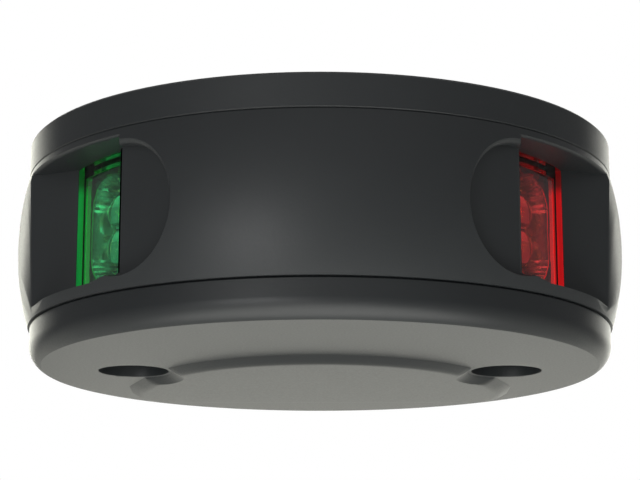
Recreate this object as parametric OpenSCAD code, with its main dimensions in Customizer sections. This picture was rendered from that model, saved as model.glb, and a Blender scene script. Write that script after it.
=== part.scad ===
// Two-colour navigation light, hung by its flat face from the surface above it.
// Millimetres. +Z points up to that surface, and z = 0 is the mounting face.
// -Y is dead ahead, +X is the port side (red) and -X is the starboard side (green).

/* [Outline] */
// Diameter of the ring at the mounting face
ring_d = 84; // [82:0.5:86]
// Height of the ring
ring_h = 4.85; // [4.6:0.05:5]
// Height of the barrel between its two seams
barrel_h = 21.35; // [21.2:0.05:21.6]
// How far the barrel swells past the ring at its widest line
swell = 1.35; // [1:0.05:1.6]
// Depth of the barrel's widest line below the mounting face
swell_z = 15; // [14:0.5:16]
// Diameter of the bottom cover
cover_d = 82.8; // [82:0.1:83.4]
// Height of the cover's rim, from the seam to the edge of its face
cover_h = 5.3; // [5:0.1:5.6]
// Radius of the cover's rounded rim
cover_round = 3; // [2.6:0.1:3.2]
// Thickness of the mounting plate
plate_t = 3; // [3:0.1:3.2]
// Wall between the barrel's inside and its ends
barrel_wall = 2.8; // [2.6:0.1:3]
// Break on the edges at both seams
seam_break = 0.3; // [0.2:0.05:0.4]

/* [Cover pad] */
// Radius of the raised pad's curved front
pad_r = 24.4; // [24:0.1:24.4]
// How far the curved front's centre lies behind the middle of the light
pad_back = 12.6; // [12.6:0.1:13]
// Distance from that centre to the pad's straight rear edge
pad_chord = 11.2; // [10:0.2:12]
// Width of the pad across its flared sides
pad_w = 53; // [50:0.5:54]
// How far the pad stands proud of the cover's face
pad_h = 1; // [0.6:0.1:1.4]

/* [Mounting screws] */
// Distance between the two mounting screws
screw_pitch = 53.4; // [53:0.1:54]
// Diameter of the mounting screw holes
screw_hole_d = 4.5; // [4.2:0.1:4.6]
// Diameter of the counterbore that takes a screw head
head_bore_d = 10; // [9.4:0.1:10.2]
// Diameter of the step at the bottom of the counterbore
head_step_d = 7.4; // [6.8:0.1:7.8]
// Depth of the counterbore's floor below the mounting face
head_floor_z = 27.2; // [26.9:0.1:27.6]

/* [Windows] */
// Distance of the light source to the side of the centre line
source_x = 26.05; // [26:0.05:26.3]
// Distance of the light source ahead of the middle
source_y = 19; // [18.8:0.1:19.2]
// Horizontal sector of each light, from dead ahead
sector_a = 112.5; // [112:0.5:113]
// Depth of the window's ceiling below the mounting face
window_top = 6; // [5.9:0.05:6.2]
// Depth of the window's floor below the mounting face
window_bottom = 24.8; // [24.6:0.05:25]
// Radius of the lens's outer face, about the light's own axis
lens_r = 37; // [36.8:0.1:37.2]
// Rise of the window's floor at its front end
ramp_h = 1; // [0.6:0.1:1.2]
// Length of that rise
ramp_l = 3.9; // [3:0.1:4.5]
// Direction of the flat behind each window, from dead ahead
flat_a = 69; // [68:0.5:70]
// Distance from the light's axis to that flat
flat_u = 42.1; // [42:0.05:42.3]
// Lean of that flat, towards the axis at its lower end
flat_lean = 1.7; // [1:0.1:2]
// Direction of the round sink at the front of each window, from dead ahead
sink_a = 38; // [37.6:0.1:38.4]
// Radius of the round sink
sink_r = 8.6; // [8.4:0.05:8.7]
// Depth of the round sink's centre below the mounting face
sink_z = 15.7; // [15.5:0.1:15.8]
// Distance from the light's axis to the flat bottom of the round sink
sink_flat = 40.7; // [40.5:0.1:41]

/* [Light engine] */
// Distance from the light's axis to the face of the LED board
board_u = 30.5; // [30.3:0.1:30.6]
// Radius of the clear optic over the LEDs
optic_r = 3.2; // [3.1:0.05:3.3]
// Radius of the reflector's round ends, outside
cup_r = 4.5; // [4.4:0.05:4.5]
// Distance between the centres of the reflector's round ends
cup_l = 6.2; // [6:0.1:6.3]
// Distance between the two LEDs of one side
led_pitch = 4.8; // [4.4:0.1:5]

/* [Hidden] */
$fn = 128;

eps = 0.01;

// Levels, all below the mounting face
ring_r = ring_d / 2;
z_ring = -ring_h;
z_barrel = -ring_h - barrel_h;
z_edge = z_barrel - cover_h;
z_pad = z_edge - pad_h;
z_plate = -plate_t;

// Barrel outline: one arc through the ring's edge and the widest line
swell_rise = swell_z - ring_h;
arc_r = (swell_rise * swell_rise + swell * swell) / (2 * swell);
arc_x = ring_r + swell - arc_r;
barrel_in = ring_r - barrel_wall;
lip_w = 1.6;
lip_in = barrel_in - lip_w;
lip_h = 2.6;

// Cover
cover_r = cover_d / 2;
cover_t = 2.2;
face_inset = 1.7;
face_r = cover_r - face_inset;
cover_in = lip_in;
z_cover_floor = z_edge + cover_t;

// Seals and gasket
gasket_in = 37.4;
gasket_out = 40.4;
gasket_t = 1.2;
base_seal_in = 38.8;
base_seal_out = 40.4;
base_seal_up = 1.2;
base_seal_down = 0.4;
cover_seal_in = 38.6;
cover_seal_out = 40.2;
cover_seal_half = 0.6;

// Mounting screws
screw_x = screw_pitch / 2;
screw_hole_r = screw_hole_d / 2;
sleeve_r = 3.2;
sleeve_seat = 1.5;
cover_boss_r = 6.6;
z_cover_boss = -23.2;
z_sleeve_end = z_cover_boss - sleeve_seat;
head_step_h = 0.8;
z_head_step = -head_floor_z + head_step_h;
plate_boss_r = 5;
z_plate_boss = -6.5;

// Assembly screws
pillar_pos = [[20, 33.5], [-20, 33.5], [135, 33.5], [-135, 33.5]];
pillar_r = 3.6;
web_t = 4;
web_l = 6;
shank_r = 1.5;
shank_clear_r = 1.7;
csk_r = 2.8;
csk_h = 1.6;
z_csk = -0.3;
z_pillar = -24.5;
z_pilot = -30.2;
z_shank = -29.6;

// Light engine, laid out along the middle of its sector
mid_a = sector_a / 2;
light_v = -1;
lens_t = 2.4;
lens_back = 33.9;
flange_back = 32.1;
seal_front = 34.5;
aperture_a = [44.8, 64.5];
flange_a = [42.5, 67.2];
cavity_a = [46.1, 62.8];
flange_over = 0.9;
cavity_inset = 1.4;
frame_a = [38, 77];
screen_a = [44, 66];
screen_inset = 0.4;
led_board_w = 14;
led_board_h = 17;
led_board_t = 1.6;
led_w = 3.5;
led_t = 0.7;
led_gap = 0.1;
cup_depth = 3.4;
cup_wall = 0.25;
cup_floor_r = 3.5;
bracket_t = 2;
bracket_foot = 10;
z_light = -(window_top + window_bottom) / 2;
bracket_screw_pos = [[22, -6], [22, 4]];
bracket_screw_r = 1.25;
bracket_screw_up = 2.2;
wire_r = 0.6;

// Driver board
board_x = 35;
board_y = [-6, 26];
board_t = 1.6;
z_board = -13;
z_board_low = z_board - board_t;
post_pos = [[-14, -3], [14, -3], [-14, 22.5], [14, 22.5]];
post_r = 2.6;
post_screw_r = 1.1;
post_screw_up = 5;
block_size = [10.4, 7.6, 8];
block_y = -2.5;
clamp_y = 4.6;
clamp_z = 2;
clamp_r = 1.7;

// Cable inlet and vent
inlet_y = -16;
inlet_r = 5;
grommet_r = 6.2;
grommet_bore_r = 3.1;
grommet_lip = 1.2;
vent_y = 30.5;
vent_hole_r = 1.2;
vent_r = 4;
vent_t = 0.5;

// Colours
black_plastic = [0.19, 0.20, 0.20];
cover_plastic = [0.33, 0.33, 0.32];
rubber_black = [0.08, 0.08, 0.08];
steel = [0.75, 0.75, 0.76];
board_green = [0.05, 0.30, 0.16];

// Points `a` degrees round from dead ahead towards port, `r` from the axis
function out(a, r) = [r * sin(a), -r * cos(a)];

// A wedge of a ring, between two directions, two radii and two depths
module ring_sector(r, a, depth) {
    far = 1.6 * r[1];
    intersection() {
        translate([0, 0, -depth[1]]) difference() {
            cylinder(r = r[1], h = depth[1] - depth[0]);
            translate([0, 0, -1]) cylinder(r = r[0], h = depth[1] - depth[0] + 2);
        }
        translate([0, 0, -depth[1] - 1]) linear_extrude(depth[1] - depth[0] + 2)
            polygon([[0, 0], out(a[0], far), out((a[0] + a[1]) / 2, far), out(a[1], far)]);
    }
}

// A flat ring with its upper face at z
module flat_ring(r_in, r_out, z, h) {
    translate([0, 0, z - h]) difference() {
        cylinder(r = r_out, h = h);
        translate([0, 0, -1]) cylinder(r = r_in, h = h + 2);
    }
}

// A round bar between two levels
module bar(r, z_top, z_low) {
    translate([0, 0, z_low]) cylinder(r = r, h = z_top - z_low);
}

// Both mounting screw places
module at_screws() {
    for (s = [-1, 1]) translate([s * screw_x, 0, 0]) children();
}

// The four assembly screw places
module at_pillars() {
    for (p = pillar_pos) rotate(p[0]) translate([0, -p[1], 0]) children();
}

module at_posts() {
    for (p = post_pos) translate([p[0], p[1], 0]) children();
}

// Children are drawn with +X along the middle of the port light's sector
module port_axis() {
    rotate(mid_a - 90) children();
}

// Starboard is the mirror image of port
module starboard() {
    mirror([1, 0, 0]) children();
}

// ---- Mounting plate and what sits in it ----

module base_plate() {
    color(black_plastic) difference() {
        union() {
            difference() {
                rotate_extrude() polygon([
                    [0, 0], [ring_r - seam_break, 0], [ring_r, -seam_break],
                    [ring_r, z_ring + seam_break], [ring_r - seam_break, z_ring], [0, z_ring]
                ]);
                bar(gasket_in, z_plate, z_ring - 1);
            }
            at_screws() bar(plate_boss_r, z_plate + eps, z_plate_boss);
            at_posts() bar(post_r, z_plate + eps, z_board);
        }
        flat_ring(gasket_in, gasket_out, 1, gasket_t + 1);
        flat_ring(base_seal_in, base_seal_out, z_ring + base_seal_up, base_seal_up + 1);
        at_screws() {
            bar(screw_hole_r, 1, z_plate_boss - 1);
            bar(sleeve_r, z_plate, z_plate_boss - 1);
        }
        at_pillars() {
            bar(shank_clear_r, 1, z_ring - 1);
            translate([0, 0, z_csk - csk_h]) cylinder(r1 = shank_clear_r, r2 = csk_r, h = csk_h);
            bar(csk_r, 1, z_csk);
        }
        at_posts() bar(post_screw_r, z_board + post_screw_up, z_board - 1);
        for (p = bracket_screw_pos) for (m = [0, 1]) mirror([m, 0, 0]) port_axis()
            translate([p[0], p[1], 0]) bar(bracket_screw_r, z_plate + bracket_screw_up, z_plate - 1);
        translate([0, inlet_y, 0]) bar(inlet_r, 1, z_plate - 1);
        translate([0, vent_y, 0]) {
            bar(vent_hole_r, 1, z_plate - 1);
            bar(vent_r, z_plate + vent_t, z_plate - 1);
        }
    }
}

module mounting_gasket() {
    color(rubber_black) flat_ring(gasket_in, gasket_out, 0, gasket_t);
}

module base_seal() {
    color(rubber_black)
        flat_ring(base_seal_in, base_seal_out, z_ring + base_seal_up, base_seal_up + base_seal_down);
}

module vent_membrane() {
    color("white") translate([0, vent_y, 0]) bar(vent_r, z_plate + vent_t, z_plate);
}

// Waisted rubber ring: a lip below the plate and a neck that fills the inlet
module cable_grommet() {
    color(rubber_black) translate([0, inlet_y, 0]) difference() {
        union() {
            bar(inlet_r, 0, z_plate - eps);
            bar(grommet_r, z_plate, z_plate - grommet_lip);
        }
        bar(grommet_bore_r, 1, z_plate - grommet_lip - 1);
    }
}

// ---- Barrel ----

// The cut that lets the light out: a wedge whose sides are the two edges of the sector
module window_cut() {
    source = [source_x, -source_y];
    far = 40;
    difference() {
        translate([0, 0, -window_bottom]) linear_extrude(window_bottom - window_top) polygon([
            source, source + out(0, far), source + out(sector_a / 2, far), source + out(sector_a, far)
        ]);
        bar(lens_r, 0, z_barrel - 1);
        translate([0, 0, -window_bottom]) rotate([90, 0, 0]) linear_extrude(far + source_y)
            polygon([[source_x, -1], [source_x + ramp_l, -1], [source_x + ramp_l, 0], [source_x, ramp_h]]);
    }
    ring_sector([seal_front - 1, lens_r + eps], aperture_a, [window_top, window_bottom]);
}

// The leaning flat behind the window, which trims the barrel's swell
module flat_cut() {
    width = 24;
    depth = 8;
    over = 2;
    rotate(flat_a) translate([0, -flat_u, -(window_top + window_bottom) / 2]) rotate([flat_lean, 0, 0])
        translate([-width / 2, -depth, -barrel_h / 2 - over]) cube([width, depth, barrel_h + 2 * over]);
}

// The round, flat-bottomed sink that the window opens into
module sink_cut() {
    chamfer = 0.5;
    wall = 1.2;
    rotate(sink_a) translate([0, -sink_flat, -sink_z]) rotate([90, 0, 0]) {
        cylinder(r = sink_r, h = 8);
        translate([0, 0, wall]) cylinder(r1 = sink_r, r2 = sink_r + chamfer, h = chamfer);
        translate([0, 0, wall + chamfer - eps]) cylinder(r = sink_r + chamfer, h = 6);
    }
}

module barrel_shell() {
    rotate_extrude($fn = 256) difference() {
        intersection() {
            translate([arc_x, -swell_z]) circle(r = arc_r, $fn = 256);
            translate([lip_in, z_barrel]) square([arc_r, barrel_h]);
        }
        translate([lip_in - 1, z_barrel + lip_h]) square([lip_w + 1, barrel_h - 2 * lip_h]);
        translate([ring_r, z_ring]) rotate(45) square(seam_break, center = true);
    }
}

module barrel() {
    color(black_plastic) difference() {
        union() {
            barrel_shell();
            for (m = [0, 1]) mirror([m, 0, 0])
                ring_sector([seal_front, barrel_in + 0.5], frame_a, [ring_h, -z_barrel]);
            at_pillars() {
                bar(pillar_r, z_ring, z_pillar);
                translate([-web_t / 2, -web_l, z_pillar]) cube([web_t, web_l, z_ring - z_pillar]);
            }
        }
        for (m = [0, 1]) mirror([m, 0, 0]) {
            window_cut();
            flat_cut();
            sink_cut();
        }
        at_pillars() bar(shank_clear_r, 0, z_barrel);
        flat_ring(base_seal_in, base_seal_out, 0, ring_h + base_seal_down);
        flat_ring(cover_seal_in, cover_seal_out, z_barrel + cover_seal_half, cover_seal_half + 1);
    }
}

// ---- Bottom cover ----

// The pad's outline: a curved front that flares into two short corners and a straight rear edge
module pad_outline() {
    rear = pad_back + pad_chord;
    half = pad_w / 2;
    corner = 3.5;
    meet = 16;
    front = [pad_r * cos(meet), pad_back - pad_r * sin(meet)];
    intersection() {
        translate([0, pad_back]) circle(r = pad_r);
        translate([-pad_r, pad_back - pad_r]) square([2 * pad_r, pad_r + pad_chord]);
    }
    difference() {
        polygon([
            [-front[0], front[1]], [front[0], front[1]], [half, front[1] + 8.5], [half, rear],
            [-half, rear], [-half, front[1] + 8.5]
        ]);
        for (s = [-1, 1]) translate([s * half, rear]) rotate(45) square(corner * sqrt(2), center = true);
    }
}

module cover_pad() {
    translate([0, 0, z_pad]) linear_extrude(pad_h + cover_t / 2) pad_outline();
}

module cover_body() {
    round_x = cover_r - cover_round;
    round_z = z_edge + sqrt(cover_round * cover_round - (face_r - round_x) * (face_r - round_x));
    deep = z_edge - cover_round;
    rotate_extrude($fn = 256) difference() {
        intersection() {
            union() {
                translate([round_x, round_z]) circle(r = cover_round, $fn = 96);
                polygon([
                    [0, z_barrel], [cover_r - seam_break, z_barrel], [cover_r, z_barrel - seam_break],
                    [cover_r, round_z], [round_x, round_z], [round_x, deep], [0, deep]
                ]);
            }
            polygon([[0, 0], [ring_d, 0], [ring_d, z_edge], [0, z_edge]]);
        }
        translate([-1, z_cover_floor]) square([cover_in + 1, cover_h]);
    }
}

module cover() {
    color(cover_plastic) difference() {
        union() {
            cover_body();
            cover_pad();
            at_screws() bar(cover_boss_r, z_cover_boss, z_cover_floor - 1);
            at_pillars() bar(pillar_r, z_pillar, z_cover_floor - 0.5);
        }
        at_screws() {
            bar(screw_hole_r, 0, z_pad - 1);
            bar(sleeve_r, 0, z_sleeve_end);
            bar(head_step_d / 2, z_head_step, z_pad - 1);
            bar(head_bore_d / 2, -head_floor_z, z_pad - 1);
        }
        at_pillars() bar(shank_r, 0, z_pilot);
        flat_ring(cover_seal_in, cover_seal_out, 0, -z_barrel + cover_seal_half);
    }
}

module cover_seal() {
    color(rubber_black)
        flat_ring(cover_seal_in, cover_seal_out, z_barrel + cover_seal_half, 2 * cover_seal_half);
}

// ---- Metal that holds the housing together ----

module screw_sleeves() {
    color("goldenrod") at_screws() difference() {
        bar(sleeve_r, z_plate, z_sleeve_end);
        bar(screw_hole_r, 0, z_sleeve_end - 1);
    }
}

module assembly_screws() {
    drive_r = 1.1;
    drive_h = 1;
    color(steel) at_pillars() difference() {
        union() {
            bar(shank_r, z_csk - eps, z_shank);
            translate([0, 0, z_csk - csk_h + 0.15])
                cylinder(r1 = shank_r, r2 = csk_r - 0.15, h = csk_h - 0.15);
        }
        translate([0, 0, z_csk - drive_h]) cylinder(r = drive_r, h = drive_h + 1, $fn = 6);
    }
}

// ---- One light: lens, seal, screen, optic, LEDs, board, bracket and leads ----

module lens_shape() {
    difference() {
        union() {
            ring_sector([lens_back, lens_r], aperture_a, [window_top, window_bottom]);
            ring_sector([flange_back, lens_back + eps], flange_a,
                        [window_top - flange_over, window_bottom + flange_over]);
        }
        ring_sector([flange_back - 1, lens_r - lens_t], cavity_a,
                    [window_top + cavity_inset, window_bottom - cavity_inset]);
    }
}

module lens_seal_shape() {
    difference() {
        ring_sector([lens_back + eps, seal_front], flange_a,
                    [window_top - flange_over, window_bottom + flange_over]);
        ring_sector([lens_back - 1, seal_front + 1], aperture_a, [window_top, window_bottom]);
    }
}

// An upright slot with round ends, seen along the sector's middle
module upright_slot(r, l, u_from, u_to) {
    translate([u_from, light_v, z_light]) rotate([0, 90, 0]) union() {
        for (s = [-1, 1]) translate([s * l / 2, 0, 0]) cylinder(r = r, h = u_to - u_from);
        translate([-l / 2, -r, 0]) cube([l, 2 * r, u_to - u_from]);
    }
}

module light_screen_shape() {
    difference() {
        intersection() {
            ring_sector([20, flange_back], screen_a,
                        [window_top - screen_inset, window_bottom + screen_inset]);
            port_axis() translate([board_u, -20, z_barrel]) cube([10, 40, barrel_h]);
        }
        port_axis() upright_slot(cup_r + 0.1, cup_l, board_u - 1, lens_r);
    }
}

// Bright cup round the LEDs, wider at its mouth than at its floor
module reflector_shape() {
    mouth_r = cup_r - cup_wall;
    port_axis() difference() {
        upright_slot(cup_r, cup_l, board_u, board_u + cup_depth);
        translate([board_u, light_v, z_light]) rotate([0, 90, 0]) {
            for (s = [-1, 1]) translate([s * cup_l / 2, 0, 0])
                cylinder(r1 = cup_floor_r, r2 = mouth_r, h = cup_depth);
            translate([-cup_l / 2, 0, 0]) rotate([90, 0, 90]) linear_extrude(cup_l) polygon([
                [-cup_floor_r, -1], [cup_floor_r, -1], [cup_floor_r, 0], [mouth_r, cup_depth],
                [mouth_r, cup_depth + 1], [-mouth_r, cup_depth + 1], [-mouth_r, cup_depth],
                [-cup_floor_r, 0]
            ]);
        }
    }
}

module led_blocks(size, depth) {
    for (s = [-1, 1])
        translate([board_u + depth / 2, light_v, z_light + s * led_pitch / 2])
            cube([depth, size, size], center = true);
}

module optic_shape() {
    port_axis() difference() {
        intersection() {
            union() {
                for (s = [-1, 1]) translate([board_u, light_v, z_light + s * led_pitch / 2])
                    sphere(r = optic_r, $fn = 96);
                translate([board_u, light_v, z_light - led_pitch / 2])
                    cylinder(r = optic_r, h = led_pitch, $fn = 96);
            }
            translate([board_u, -20, z_barrel]) cube([10, 40, barrel_h]);
        }
        led_blocks(led_w + 2 * led_gap, 2 * (led_t + led_gap));
    }
}

module leds_shape() {
    phosphor_r = 1.35;
    port_axis() difference() {
        led_blocks(led_w, led_t);
        for (s = [-1, 1])
            translate([board_u + led_t - 0.2, light_v, z_light + s * led_pitch / 2])
                rotate([0, 90, 0]) cylinder(r = phosphor_r, h = 1);
    }
}

module led_board_shape() {
    port_axis() translate([board_u - led_board_t, light_v - led_board_w / 2, z_light - led_board_h / 2])
        cube([led_board_t, led_board_w, led_board_h]);
}

module heat_bracket_shape() {
    back_u = board_u - led_board_t - bracket_t;
    port_axis() difference() {
        union() {
            translate([back_u, light_v - led_board_w / 2, z_light - led_board_h / 2])
                cube([bracket_t, led_board_w, z_plate - z_light + led_board_h / 2]);
            translate([back_u + bracket_t - bracket_foot, light_v - led_board_w / 2, z_plate - bracket_t])
                cube([bracket_foot, led_board_w, bracket_t]);
        }
        for (p = bracket_screw_pos) translate([p[0], p[1], 0]) bar(bracket_screw_r, 0, z_plate - 5);
    }
}

// One insulated wire through a list of points
module wire(points) {
    for (i = [0 : len(points) - 2]) hull() {
        translate(points[i]) sphere(r = wire_r, $fn = 12);
        translate(points[i + 1]) sphere(r = wire_r, $fn = 12);
    }
}

// The two leads from an LED board to the driver board
module leads_shape() {
    for (k = [0, 1]) {
        z = -19.5 - 2.2 * k;
        x = 13 - 2.4 * k;
        y = -4.6 + 0.8 * k;
        wire([[16.2, -25.6, z], [x, -19, z], [x, y, z], [x, y, z_board_low - wire_r]]);
    }
}

module port_lens() { color([0.85, 0.05, 0.05, 0.6]) lens_shape(); }
module port_lens_seal() { color(rubber_black) lens_seal_shape(); }
module port_light_screen() { color(black_plastic) light_screen_shape(); }
module port_reflector() { color("whitesmoke") reflector_shape(); }
module port_optic() { color([0.9, 0.9, 0.85, 0.5]) optic_shape(); }
module port_leds() { color([0.95, 0.85, 0.3]) leds_shape(); }
module port_led_board() { color("white") led_board_shape(); }
module port_heat_bracket() { color(steel) heat_bracket_shape(); }
module port_leads() { color("red") leads_shape(); }

module starboard_lens() { color([0.02, 0.55, 0.25, 0.6]) starboard() lens_shape(); }
module starboard_lens_seal() { color(rubber_black) starboard() lens_seal_shape(); }
module starboard_light_screen() { color(black_plastic) starboard() light_screen_shape(); }
module starboard_reflector() { color("whitesmoke") starboard() reflector_shape(); }
module starboard_optic() { color([0.9, 0.9, 0.85, 0.5]) starboard() optic_shape(); }
module starboard_leds() { color([0.95, 0.85, 0.3]) starboard() leds_shape(); }
module starboard_led_board() { color("white") starboard() led_board_shape(); }
module starboard_heat_bracket() { color(steel) starboard() heat_bracket_shape(); }
module starboard_leads() { color("green") starboard() leads_shape(); }

// ---- Driver board and its parts ----

module bracket_screws() {
    head_r = 2.3;
    head_h = 1.5;
    color(steel) for (m = [0, 1]) mirror([m, 0, 0]) port_axis()
        for (p = bracket_screw_pos) translate([p[0], p[1], 0]) {
            bar(bracket_screw_r, z_plate + bracket_screw_up - 0.3, z_plate - bracket_t);
            bar(head_r, z_plate - bracket_t + eps, z_plate - bracket_t - head_h);
        }
}

module driver_board() {
    color(board_green) difference() {
        translate([-board_x / 2, board_y[0], z_board_low])
            cube([board_x, board_y[1] - board_y[0], board_t]);
        at_posts() bar(post_screw_r, 0, z_board_low - 1);
    }
}

module board_screws() {
    head_r = 2;
    head_h = 1.4;
    color(steel) at_posts() {
        bar(post_screw_r, z_board + post_screw_up - 0.5, z_board_low);
        bar(head_r, z_board_low + eps, z_board_low - head_h);
    }
}

// Flat square package under the board
module driver_chip() {
    chip = 6;
    chip_h = 1;
    color([0.1, 0.1, 0.1]) translate([1, 6, z_board_low - chip_h]) cube([chip, chip, chip_h]);
}

module inductor() {
    color([0.25, 0.25, 0.27]) translate([-7.5, 13.5, 0]) bar(4.6, z_board_low, z_board_low - 4.8);
}

module capacitors() {
    color([0.2, 0.22, 0.5]) for (y = [6.5, 17]) translate([10, y, 0])
        bar(4, z_board_low, z_board_low - 8.5);
}

module surge_diodes() {
    color([0.12, 0.12, 0.12]) for (x = [-9, -3.5]) translate([x, 1.5, z_board_low - 2.2])
        cube([2.6, 4.4, 2.2]);
}

module at_clamps() {
    for (k = [0.25, 0.75]) translate([block_size[0] * (k - 0.5), block_y, z_board]) children();
}

module terminal_block() {
    entry_r = 1.5;
    entry_z = 3;
    entry_l = 5;
    color([0.1, 0.35, 0.2]) difference() {
        translate([-block_size[0] / 2, block_y, z_board]) cube(block_size);
        at_clamps() {
            translate([0, -1, entry_z]) rotate([-90, 0, 0]) cylinder(r = entry_r, h = entry_l + 1, $fn = 32);
            translate([0, clamp_y, clamp_z]) cylinder(r = clamp_r, h = block_size[2], $fn = 32);
        }
    }
}

module terminal_screws() {
    screw_h = 5;
    slot_w = 0.6;
    slot_h = 0.8;
    color(steel) at_clamps() translate([0, clamp_y, clamp_z]) difference() {
        cylinder(r = clamp_r, h = screw_h, $fn = 32);
        translate([-clamp_r - 1, -slot_w / 2, screw_h - slot_h]) cube([2 * clamp_r + 2, slot_w, slot_h + 1]);
    }
}

base_plate();
mounting_gasket();
base_seal();
vent_membrane();
cable_grommet();
barrel();
cover();
cover_seal();
screw_sleeves();
assembly_screws();
starboard_lens();
starboard_lens_seal();
starboard_light_screen();
starboard_reflector();
starboard_optic();
starboard_leds();
starboard_led_board();
starboard_heat_bracket();
starboard_leads();
port_lens();
port_lens_seal();
port_light_screen();
port_reflector();
port_optic();
port_leds();
port_led_board();
port_heat_bracket();
port_leads();
bracket_screws();
driver_board();
board_screws();
driver_chip();
inductor();
capacitors();
surge_diodes();
terminal_block();
terminal_screws();
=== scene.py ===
import bpy
import bmesh
import math
from mathutils import Matrix, Vector


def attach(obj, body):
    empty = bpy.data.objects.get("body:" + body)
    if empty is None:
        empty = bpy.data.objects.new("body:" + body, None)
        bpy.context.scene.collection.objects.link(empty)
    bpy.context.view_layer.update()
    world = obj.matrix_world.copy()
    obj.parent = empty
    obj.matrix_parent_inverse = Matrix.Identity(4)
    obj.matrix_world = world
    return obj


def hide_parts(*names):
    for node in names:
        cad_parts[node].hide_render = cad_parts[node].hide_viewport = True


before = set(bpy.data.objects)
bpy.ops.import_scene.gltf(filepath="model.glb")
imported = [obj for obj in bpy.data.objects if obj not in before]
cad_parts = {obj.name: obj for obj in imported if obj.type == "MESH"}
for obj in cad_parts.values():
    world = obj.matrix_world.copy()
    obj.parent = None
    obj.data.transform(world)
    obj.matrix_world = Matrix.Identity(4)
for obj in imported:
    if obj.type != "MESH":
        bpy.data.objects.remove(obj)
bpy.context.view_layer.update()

# The light hangs by its flat upper face, so the camera looks up at it from dead ahead and a little
# below. The room is white, darker to the sides, with a pale floor underneath and five soft lamps.
MM = 0.001
scene = bpy.context.scene
scene.view_settings.view_transform = "Standard"


def linear(hex_colour, alpha=1.0):
    parts = [int(hex_colour[i:i + 2], 16) / 255 for i in (1, 3, 5)]
    return tuple(c / 12.92 if c <= 0.04045 else ((c + 0.055) / 1.055) ** 2.4 for c in parts) + (alpha,)


def add_node(tree, kind, settings=None, links=None):
    node = tree.nodes.new(kind)
    for key, value in (settings or {}).items():
        if key in node.inputs:
            node.inputs[key].default_value = value
        else:
            setattr(node, key, value)
    for key, source in (links or {}).items():
        tree.links.new(source, node.inputs[key])
    return node


def new_material(name):
    material = bpy.data.materials.new(name)
    material.use_nodes = True
    material.node_tree.nodes.clear()
    return material, material.node_tree


def close_material(tree, shader):
    add_node(tree, "ShaderNodeOutputMaterial", links={"Surface": shader.outputs[0]})


FLOOR_BELOW, FLOOR_HALF = 120.0, 3000.0
MOTTLES_PER_M = 6.0


def floor_paint():
    material, tree = new_material("pale_floor_paint")
    place = add_node(tree, "ShaderNodeTexCoord")
    mottle = add_node(tree, "ShaderNodeTexNoise", {"Scale": MOTTLES_PER_M, "Detail": 3.0},
                      {"Vector": place.outputs["Object"]})
    tone = add_node(tree, "ShaderNodeMix",
                    {"data_type": "RGBA", "A": linear("#E9E9E7"), "B": linear("#EEEEEC")},
                    {"Factor": mottle.outputs["Fac"]})
    shader = add_node(tree, "ShaderNodeBsdfPrincipled", {"Roughness": 0.8},
                      {"Base Color": tone.outputs["Result"]})
    close_material(tree, shader)
    return material


floor_mesh = bmesh.new()
bmesh.ops.create_grid(floor_mesh, x_segments=1, y_segments=1, size=FLOOR_HALF * MM,
                      matrix=Matrix.Translation((0, 0, -FLOOR_BELOW * MM)))
floor_data = bpy.data.meshes.new("floor")
floor_mesh.to_mesh(floor_data)
floor_mesh.free()
floor = bpy.data.objects.new("floor", floor_data)
floor_data.materials.append(floor_paint())
scene.collection.objects.link(floor)

FRONT_LIGHT, SIDE_LIGHT = 0.42, 0.20
FALL_FROM, FALL_TO = 0.35, 0.8
world = bpy.data.worlds.new("white_room")
scene.world = world
world.use_nodes = True
world.node_tree.nodes.clear()
facing = add_node(world.node_tree, "ShaderNodeTexCoord")
across = add_node(world.node_tree, "ShaderNodeSeparateXYZ", None, {"Vector": facing.outputs["Generated"]})
aside = add_node(world.node_tree, "ShaderNodeMath", {"operation": "ABSOLUTE"}, {0: across.outputs["X"]})
level = add_node(world.node_tree, "ShaderNodeMapRange",
                 {"From Min": FALL_FROM, "From Max": FALL_TO, "To Min": FRONT_LIGHT, "To Max": SIDE_LIGHT},
                 {"Value": aside.outputs["Value"]})
lit = add_node(world.node_tree, "ShaderNodeBackground", {"Color": (1, 1, 1, 1)},
               {"Strength": level.outputs["Result"]})
seen = add_node(world.node_tree, "ShaderNodeBackground", {"Color": (1, 1, 1, 1), "Strength": 1.0})
path = add_node(world.node_tree, "ShaderNodeLightPath")
room = add_node(world.node_tree, "ShaderNodeMixShader", None,
                {0: path.outputs["Is Camera Ray"], 1: lit.outputs[0], 2: seen.outputs[0]})
add_node(world.node_tree, "ShaderNodeOutputWorld", None, {"Surface": room.outputs[0]})
LIGHT_MIDDLE = Vector((0, 0, -0.017))


def soft_box(name, place, size, power, colour=(1, 1, 1)):
    """A round soft lamp aimed at the light, in metres and watts. Only what it lights shows."""
    lamp = bpy.data.lights.new(name, "AREA")
    lamp.shape = "DISK"
    lamp.size = size
    lamp.energy = power
    lamp.color = colour
    holder = bpy.data.objects.new(name, lamp)
    holder.location = place
    aim = LIGHT_MIDDLE - Vector(place)
    holder.rotation_euler = aim.to_track_quat("-Z", "Y").to_euler()
    holder.visible_camera = False
    scene.collection.objects.link(holder)


soft_box("under_light", (0.0, -0.04, -0.117), 0.18, 0.20, (1.0, 1.0, 0.96))
soft_box("low_left_light", (-0.22, -0.50, -0.10), 0.16, 0.8)
soft_box("low_rear_light", (0.10, 0.50, -0.105), 0.45, 0.80, (1.0, 1.0, 0.90))
soft_box("left_rear_light", (-0.25, 0.52, 0.12), 0.30, 1.5, (1.0, 1.0, 0.88))
soft_box("right_rear_light", (0.25, 0.52, 0.12), 0.30, 1.0, (1.0, 1.0, 0.90))

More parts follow.
